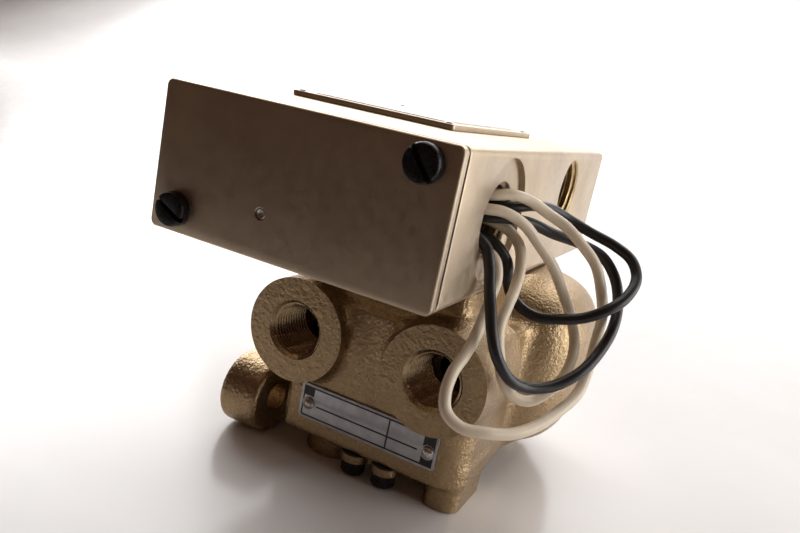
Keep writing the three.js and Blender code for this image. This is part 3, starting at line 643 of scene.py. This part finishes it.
BOSS_RADIUS = 15
BOSS_FACE = 23
BLOCK_FRONT = 29
FRONT_PORTS = ((35.4, -23.2), (78.3, -23.2))
REAR_PORT = (62, -22)
REAR_FACE = 121
FLANGE_TOP = -0.6
PORT_BORE = 8.6
PORT_DEPTH = 17
LUG_HOLE = 4.3
LUG_SPAN = (13, 26)
LUG_EYE = (34.5, -50.7)
BLOCK_LEFT = 32.2
BLOCK_BOTTOM = -55
FOOT_PLANE = -62
FOOT_BOTTOM = -66
GRID_LOW, GRID_HIGH = (8, 12, -69), (110, 131, 7)
MIDDLE_Y = 70.5
BORE_X = 62
CAP_PLACES = [(x, y) for y in (32.5, 108.5) for x in (57, 67)]
HOUSING_BOLTS = [(x, y) for y in (38, 101) for x in (48.7, 65.3)]
POPPET_BORE = [(14, -56), (14, -40.5), (8.5, -40.5), (8.5, -38), (14, -38), (14, -29.5),
               (8.5, -29.5), (8.5, -27), (14, -27), (14, -15), (6.3, -15), (6.3, -12),
               (18, -12), (18, 1)]


def drilling(start, end, r):
    """A round hole between two points."""
    way = Vector(end) - Vector(start)
    hole = rod("drilling", "z", r, (0, way.length), (0, 0), 48)
    turn = Matrix.Translation(start) @ way.to_track_quat("Z", "Y").to_matrix().to_4x4()
    hole.data.transform(PLACEMENT @ turn @ PLACEMENT.inverted())
    return hole


def casting(p):
    """The sand casting before machining. Both lugs and the left feet are mirrored about its middle;
    the right feet are given front and back apart.
    """
    mirrored = p.copy()
    mirrored[..., 1] = np.where(p[..., 1] > MIDDLE_Y, 2 * MIDDLE_Y - p[..., 1], p[..., 1])
    # The block's left corners are tight and its right corners full. The two meet midway.
    plan = ((BLOCK_LEFT, 90), (BLOCK_FRONT, 112), (BLOCK_BOTTOM, -13))
    left, right = (field_slab(p, *plan, corner, 1.6) for corner in (3.2, 8))
    body = np.where(p[..., 0] > 61, right, left)
    body = blend_in(body, field_slab(p, (24, 60), (44, 97), (BLOCK_BOTTOM, -17), 6), 3)
    body = blend_in(body, field_slab(p, (33, 81), (31.5, 110), (-50, 3), 6), 5)
    body = np.maximum(body, BLOCK_FRONT - p[..., 1])
    for x, z in FRONT_PORTS:
        body = blend_in(body, field_rod(p, "y", BOSS_RADIUS, (17, 52), (x, z), 1.0), 4.5)
    body = blend_in(body, field_rod(p, "y", BOSS_RADIUS, (94, 127), REAR_PORT, 1.0), 7)
    dome = field_egg(p, (79, 90, -26), (26, 28, 25.6), 31, 2.8)
    body = blend_in(body, np.maximum(dome, -54 - p[..., 2]), 4)
    eye = field_rod(mirrored, "x", 11, LUG_SPAN, LUG_EYE, 1.4)
    web = field_box(mirrored, (13.5, 26), (36, 62), (-61.7, -40), 2.2)
    body = blend_in(body, blend_in(eye, web, 3), 2.5)
    foot = (FOOT_BOTTOM, -48)
    body = blend_in(body, field_rod(mirrored, "z", 8.7, foot, (45, 42.5), 1.2), 3)
    body = blend_in(body, field_slab(p, (78.6, 89.6), (32, 55), foot, 4.2), 2)
    body = blend_in(body, field_rod(p, "z", 7, foot, (80, 99.5), 1.2), 2.5)
    return body


def make_body():
    """The casting, machined: flats, port and lug bores, the poppet's bore and its passages."""
    step = 0.75
    body = surface_of("body_casting", casting, GRID_LOW, GRID_HIGH, step)
    far = (-200, 200)
    rear_eye = 2 * MIDDLE_Y - LUG_EYE[0]
    combine(
        body,
        [
            join_tools(
                "flats",
                [
                    block("top", far, far, (FLANGE_TOP, 60)),
                    block("bottom", far, far, (-120, FOOT_PLANE)),
                ],
            ),
            join_tools(
                "faces",
                [
                    block("front", far, (-100, BOSS_FACE), far),
                    block("rear", far, (REAR_FACE, 300), far),
                ],
            ),
            block("plate_seat", (37.4, 83.2), (0, BLOCK_FRONT - 0.05), (-51.5, -38.3)),
            join_tools(
                "eyes",
                [
                    rod("eye", "x", LUG_HOLE, (5, 29.5), (y, LUG_EYE[1]))
                    for y in (LUG_EYE[0], rear_eye)
                ],
            ),
            join_tools(
                "bores",
                [
                    *[
                        rod("bore", "y", PORT_BORE, (BOSS_FACE - 2, BOSS_FACE + PORT_DEPTH), place)
                        for place in FRONT_PORTS
                    ],
                    rod("bore", "y", PORT_BORE, (REAR_FACE - PORT_DEPTH, REAR_FACE + 2), REAR_PORT),
                ],
            ),
            lathe("poppet_bore", POPPET_BORE, "z", (BORE_X, MIDDLE_Y), 96),
            drilling((35.4, 39, -23.2), (52, 64.5, -47), 5.5),
            drilling((78.3, 39, -23.2), (70, 64.5, -33.75), 4.1),
            rod("drilling", "y", 5, (MIDDLE_Y, REAR_FACE - PORT_DEPTH + 1), (62, -21), 48),
            join_tools(
                "screw_holes",
                [
                    *[rod("hole", "z", 2.8, (-12, 1), place, 24) for place in HOUSING_BOLTS],
                    *[rod("hole", "z", 2.3, (-56, -47), place, 24) for place in CAP_PLACES],
                    *[rod("hole", "y", 1.2, (28, 33), (x, -45), 24) for x in (41.2, 79.6)],
                ],
            ),
        ],
        solver="MANIFOLD",
    )
    fit(body, "valve", "cast_body", ["valve_body"], angle=38)
    return body


make_body()

PORT_THREAD = {"depth": PORT_DEPTH, "minor": 7.1, "major": 8.1, "outer": PORT_BORE - 0.02,
               "pitch": 1.337, "mouth": 8.5}
for number, place in enumerate(FRONT_PORTS, 1):
    sleeve = thread(f"port_thread_{number}", "y", place, BOSS_FACE + 0.02, 1, **PORT_THREAD)
    fit(sleeve, "valve", "cast_body", look="machined_bore", angle=25)
sleeve = thread("port_thread_rear", "y", REAR_PORT, REAR_FACE - 0.02, -1, **PORT_THREAD)
fit(sleeve, "valve", "cast_body", look="machined_bore", angle=25)

# ---- Pilot housing -----------------------------------------------------------------------

WIDTH = 82.5
DEPTH = 147
HEIGHT = 38.4
COVER = 3.0
HOUSING_FRONT = 3.6
CORNER_RADIUS = 1.8
LEAD_OPENING = (36.2, 19.3)
REAR_OPENING = (102.2, 25.1)
CONDUIT_BORE = 10.6
RING = {"radius": 16.8, "depth": 1.6}
SCREWS = {"cover_screw_lower": (8.1, 6.2, 0.45), "cover_screw_upper": (74.1, 33, 0.9)}
OVERRIDE = (34, 11.4)
OVERRIDE_HOLE = 1.5


def make_housing():
    outline = rounded_outline((0, WIDTH), (0, HEIGHT), CORNER_RADIUS)
    shell = slab("housing_shell", outline, "y", (HOUSING_FRONT, DEPTH))
    ease_edges(shell, 0.7, 3)
    ring = [
        (RING["radius"], WIDTH + 1),
        (RING["radius"], WIDTH - RING["depth"]),
        (CONDUIT_BORE, WIDTH - RING["depth"]),
        (CONDUIT_BORE, 69),
    ]
    tools = [
        block("cavity", (4, 70.5), (-5, 121), (3.6, 34.8)),
        lathe("opening", ring, "x", LEAD_OPENING),
        rod("opening", "x", CONDUIT_BORE, (69, WIDTH + 1), REAR_OPENING),
        *[rod("hole", "y", 2.8, (0, 25), (x, z), 24) for x, z, _ in SCREWS.values()],
        *[rod("hole", "z", 2.8, (-1, 5), place, 24) for place in HOUSING_BOLTS],
        rod("hole", "z", 1.5, (-1, 5), (BORE_X - 10, MIDDLE_Y), 24),
    ]
    post = block("post", (3, 13.1), (HOUSING_FRONT, 19.5), (2.6, 11.2))
    combine(shell, tools[:1])
    combine(shell, [post], "UNION")
    combine(shell, tools[1:])
    ease_edges(shell, 0.35, 2, 50)
    fit(shell, "valve", "painted_housing", ["pilot_housing"], angle=30)


make_housing()

CONDUIT_THREAD = {"depth": 10.0, "minor": 9.3, "major": 10.4, "outer": CONDUIT_BORE - 0.02,
                  "pitch": 1.814, "mouth": 10.5}
ring_floor = WIDTH - RING["depth"] - 0.02
sleeve = thread("lead_opening_thread", "x", LEAD_OPENING, ring_floor, -1, **CONDUIT_THREAD)
fit(sleeve, "valve", "painted_housing", angle=25)
sleeve = thread("rear_opening_thread", "x", REAR_OPENING, WIDTH - 0.1, -1, **CONDUIT_THREAD)
fit(sleeve, "valve", "brass", angle=25)

# ---- Front cover and its screws ----------------------------------------------------------


def make_cover():
    outline = rounded_outline((0, WIDTH), (0, HEIGHT), CORNER_RADIUS)
    cover = slab("cover_plate", outline, "y", (0, COVER))
    ease_edges(cover, 0.6, 3)
    holes = [rod("hole", "y", 2.8, (-3, 6), (x, z), 32) for x, z, _ in SCREWS.values()]
    profile = [(2.6, -1), (1.7, 0), (OVERRIDE_HOLE, 0.15), (OVERRIDE_HOLE, 6)]
    pin = lathe("hole", profile, "y", OVERRIDE, 40)
    combine(cover, [join_tools("holes", [*holes, pin])])
    fit(cover, "valve", "painted_housing", ["front_cover"], angle=24)


def make_cover_screw(name, x, z, turn):
    profile = [(0, -3.1), (3.4, -3.08), (4.2, -2.95), (4.48, -2.6), (4.6, -2.1), (4.6, -0.12),
               (4.5, 0), (2.5, 0.02), (2.5, 17)]
    screw = lathe(name + "_head", profile, "y", (x, z), 72)
    blade = block("slot", (-6, 6), (-4.5, -1.5), (-0.65, 0.65))
    turned = Matrix.Rotation(turn, 4, "Y")
    blade.data.transform(PLACEMENT.inverted())
    blade.data.transform(turned)
    blade.data.transform(PLACEMENT @ Matrix.Translation((x, 0, z)))
    combine(screw, [blade])
    ease_edges(screw, 0.12, 2, 40)
    fit(screw, "valve", "black_steel", [name], angle=28)


make_cover()
for name, (x, z, turn) in SCREWS.items():
    make_cover_screw(name, x, z, turn)

profile = [(0, 0.75), (0.55, 0.7), (0.85, 0.42), (1.15, 0.14), (1.35, 0.3), (1.35, 12.2), (0, 12.2)]
button = lathe("override_button", profile, "y", OVERRIDE, 32)
collar = rod("collar", "y", 2.6, (3.9, 4.9), OVERRIDE, 32)
combine(button, [collar], "UNION")
fit(button, "override", "steel", ["override_pin"])

# ---- Roof plate and label ----------------------------------------------------------------

PLATE_X = (0.6, 57)
PLATE_Y = (54, 132)
PLATE_TOP = HEIGHT + 1.8
LABEL_TOP = PLATE_TOP + 0.25


def frame_strips(name, a, b, width, corner, axis, span):
    """A printed border: the area between two rounded rectangles."""
    outer = rounded_outline(a, b, corner)
    inner = rounded_outline(
        (a[0] + width, a[1] - width), (b[0] + width, b[1] - width), max(corner - width, 0.05)
    )
    border = slab(name, outer, axis, span)
    grow = (span[0] - 1, span[1] + 1)
    combine(border, [slab("window", inner, axis, grow)])
    return border


plate = slab("roof_plate", rounded_outline(PLATE_X, PLATE_Y, 1.5), "z", (HEIGHT, PLATE_TOP))
ease_edges(plate, 0.35, 3)
fit(plate, "valve", "painted_housing", ["top_plate"])
sheet = slab("rating_label", rounded_outline((5.6, 52), (59, 127), 2), "z", (PLATE_TOP, LABEL_TOP))
ease_edges(sheet, 0.1, 2)
fit(sheet, "valve", "label", ["top_label"])
border = frame_strips("label_border", (7, 50.6), (60.4, 125.6), 0.5, 1.2, "z",
                      (LABEL_TOP - 0.02, LABEL_TOP + 0.015))
fit(border, "valve", "label", look="ink")
PIN_INSET = 2.6
corners = [
    (x, y)
    for x in (PLATE_X[0] + PIN_INSET, PLATE_X[1] - PIN_INSET)
    for y in (PLATE_Y[0] + PIN_INSET, PLATE_Y[1] - PIN_INSET)
]
for number, place in enumerate(corners, 1):
    profile = [(1.3, PLATE_TOP), (1.3, PLATE_TOP + 0.12), (1.1, PLATE_TOP + 0.4),
               (0.6, PLATE_TOP + 0.58), (0, PLATE_TOP + 0.62)]
    pin = lathe(f"roof_pin_{number}", profile, "z", place, 32)
    fit(pin, "valve", "steel", [f"top_plate_pin_{number}"])

# ---- Nameplate ---------------------------------------------------------------------------

NAME_X = (38.2, 82.3)
NAME_Z = (-49.8, -39.1)
NAME_FACE = 28.35
NAME_PINS = {"nameplate_pin_left": 41.2, "nameplate_pin_right": 79.6}
NAME_PIN_Z = -45
PRINT = (NAME_FACE - 0.015, NAME_FACE + 0.02)


def make_nameplate():
    outline = rounded_outline(NAME_X, NAME_Z, 0.9)
    made = slab("name_plate", outline, "y", (NAME_FACE, 28.95))
    holes = [rod("hole", "y", 1.1, (20, 40), (x, NAME_PIN_Z), 24) for x in NAME_PINS.values()]
    combine(made, [join_tools("holes", holes)])
    ease_edges(made, 0.12, 2)
    fit(made, "valve", "plain_aluminium", ["nameplate"], look="plate")


def make_print():
    """Blank ruled cells: a border, a divider, a rule and two dark corners."""
    x, z = NAME_X, NAME_Z
    length, height = x[1] - x[0], z[1] - z[0]
    divider = x[0] + 0.655 * length
    rule = z[0] + 0.4 * height
    inner_x, inner_z = (x[0] + 0.75, x[1] - 0.75), (z[0] + 0.7, z[1] - 0.7)
    line = 0.5
    border = frame_strips("plate_border", inner_x, inner_z, line, 0.6, "y", PRINT)
    marks = [
        block("mark", (divider - line / 2, divider + line / 2), PRINT, inner_z),
        block("mark", (inner_x[0] + 4.8, divider), PRINT, (rule, rule + line)),
        block("mark", (divider, inner_x[1] - 5), PRINT, (rule, rule + line)),
    ]
    lower = NAME_PIN_Z - 0.3
    for low, high in ((inner_x[0], inner_x[0] + 3.6), (inner_x[1] - 3.6, inner_x[1])):
        bottom = inner_z[0] if low > divider else lower + 2.6
        marks.append(block("mark", (low, high), PRINT, (bottom, inner_z[1])))
    combine(border, marks, "UNION")
    clear = [rod("clear", "y", 2.15, (20, 40), (px, NAME_PIN_Z), 40) for px in NAME_PINS.values()]
    combine(border, [join_tools("clear", clear)])
    fit(border, "valve", "plain_aluminium", look="ink")


make_nameplate()
make_print()
for name, x in NAME_PINS.items():
    profile = [(0, -1.1), (0.5, -1.06), (0.95, -0.9), (1.25, -0.62), (1.38, -0.5), (1.5, -0.56),
               (1.72, -0.42), (1.8, -0.2), (1.8, 0), (0.9, 0.02), (0.9, 4.6)]
    placed = [(r, NAME_FACE + y) for r, y in profile]
    drive = lathe(name + "_drive", placed, "y", (x, NAME_PIN_Z), 40)
    fit(drive, "valve", "steel", [name])

# ---- Bottom cap and its screws -----------------------------------------------------------

CAP_TOP = -55.4
CAP_BOTTOM = -57.6


def make_cap():
    span = (CAP_BOTTOM, CAP_TOP)
    cap = rod("cap_plate", "z", 18.6, span, (BORE_X, MIDDLE_Y), 72)
    bar = block("bar", (BORE_X - 7, BORE_X + 7), (32.5, 108.5), span)
    lobes = [rod("lobe", "z", 4.2, span, place, 40) for place in CAP_PLACES]
    combine(cap, [bar, *lobes], "UNION")
    holes = [rod("hole", "z", 2.3, (-70, -50), place, 24) for place in CAP_PLACES]
    recess = rod("recess", "z", 9, (CAP_TOP - 1.2, CAP_TOP + 1), (BORE_X, MIDDLE_Y))
    combine(cap, [join_tools("holes", [*holes, recess])])
    ease_edges(cap, 0.4, 3, 40)
    fit(cap, "valve", "cast_body", ["bottom_cap"])


def knurl(angle, r):
    return r - 0.14 * abs(math.sin(21 * angle)) if r > 3.2 else r


make_cap()
for number, place in enumerate(CAP_PLACES, 1):
    top, bottom = CAP_BOTTOM, CAP_BOTTOM - 4
    profile = [(2, -47.5), (2, top), (3.1, top), (3.5, top - 0.3), (3.5, bottom + 0.5),
               (3.1, bottom)]
    screw = lathe(f"cap_socket_screw_{number}", profile, "z", place, 168, knurl)
    socket = rod("socket", "z", 3 / math.sqrt(3), (bottom - 1, bottom + 2.2), place, 6)
    combine(screw, [socket])
    fit(screw, "valve", "black_steel", [f"cap_screw_{number}"], angle=35)

# ---- Stage, lights and world -------------------------------------------------------------


def make_stage():
    """A pale floor that curves up behind the valve, with painted shade darkening it towards the
    front.
    """
    section = [(-1.6, 0.0), (-0.12, 0.0)]
    bend, back = 0.7, 1.5
    for i in range(13):
        angle = i / 12 * math.pi / 2
        section.append((back - bend + bend * math.sin(angle), bend - bend * math.cos(angle)))
    section.append((back, 2.6))
    mesh = bpy.data.meshes.new("studio_floor")
    rows = [[(x, y, z) for y, z in section] for x in (-2.6, 2.6)]
    count = len(section)
    strips = [(i, i + 1, count + i + 1, count + i) for i in range(count - 1)]
    mesh.from_pydata(rows[0] + rows[1], [], strips)
    mesh.shade_smooth()
    floor = bpy.data.objects.new("studio_floor", mesh)
    floor.location.z = -0.0002
    bpy.context.scene.collection.objects.link(floor)
    look = Look("studio_paper")
    depth = look.nodes.new("ShaderNodeSeparateXYZ")
    look.links.new(look.place, depth.inputs["Vector"])
    paper = look.mix(look.spread(look.noise(60, 3), 0, 1), (0.86, 0.84, 0.83), (0.9, 0.88, 0.87))
    # Painted shade: the floor's colour fades from the paper to dark brown towards the front, in
    # front of the valve, standing for its shadow.
    near = look.spread(depth.outputs["Y"], 0, 1, -0.26, -0.1)
    look.colour(look.mix(near, (0.035, 0.024, 0.02), paper))
    look.roughness(look.spread(look.noise(8, 3), 0.16, 0.22))
    mesh.materials.append(look.material)


def make_light(name, place, target, size, power, colour=(1, 1, 1)):
    data = bpy.data.lights.new(name, "AREA")
    data.shape = "RECTANGLE"
    data.size, data.size_y = size
    data.energy = power
    data.color = colour
    lamp = bpy.data.objects.new(name, data)
    way = Vector(target) - Vector(place)
    turn = way.to_track_quat("-Z", "Y").to_matrix().to_4x4()
    lamp.matrix_world = Matrix.Translation(place) @ turn
    bpy.context.scene.collection.objects.link(lamp)


make_stage()
make_light("back_softbox", (-0.4, 1.25, 0.85), (0, 0.1, 0.05), (2.6, 1.4), 25)
make_light("side_softbox", (1.3, 0.42, 0.35), (0, 0.02, 0.03), (1.4, 1.0), 14)
make_light("left_softbox", (-1.2, 0.7, 0.8), (-0.3, 0.1, 0), (1.0, 1.0), 8)
make_light("backdrop_light", (0.2, 0.6, 1.6), (-0.3, 1.5, 0.4), (2.0, 0.8), 12)

world = bpy.data.worlds.new("studio")
world.use_nodes = True
background = world.node_tree.nodes["Background"]
background.inputs["Color"].default_value = (0.07, 0.038, 0.026, 1)
background.inputs["Strength"].default_value = 1.0
bpy.context.scene.world = world
bpy.context.scene.view_settings.view_transform = "Standard"
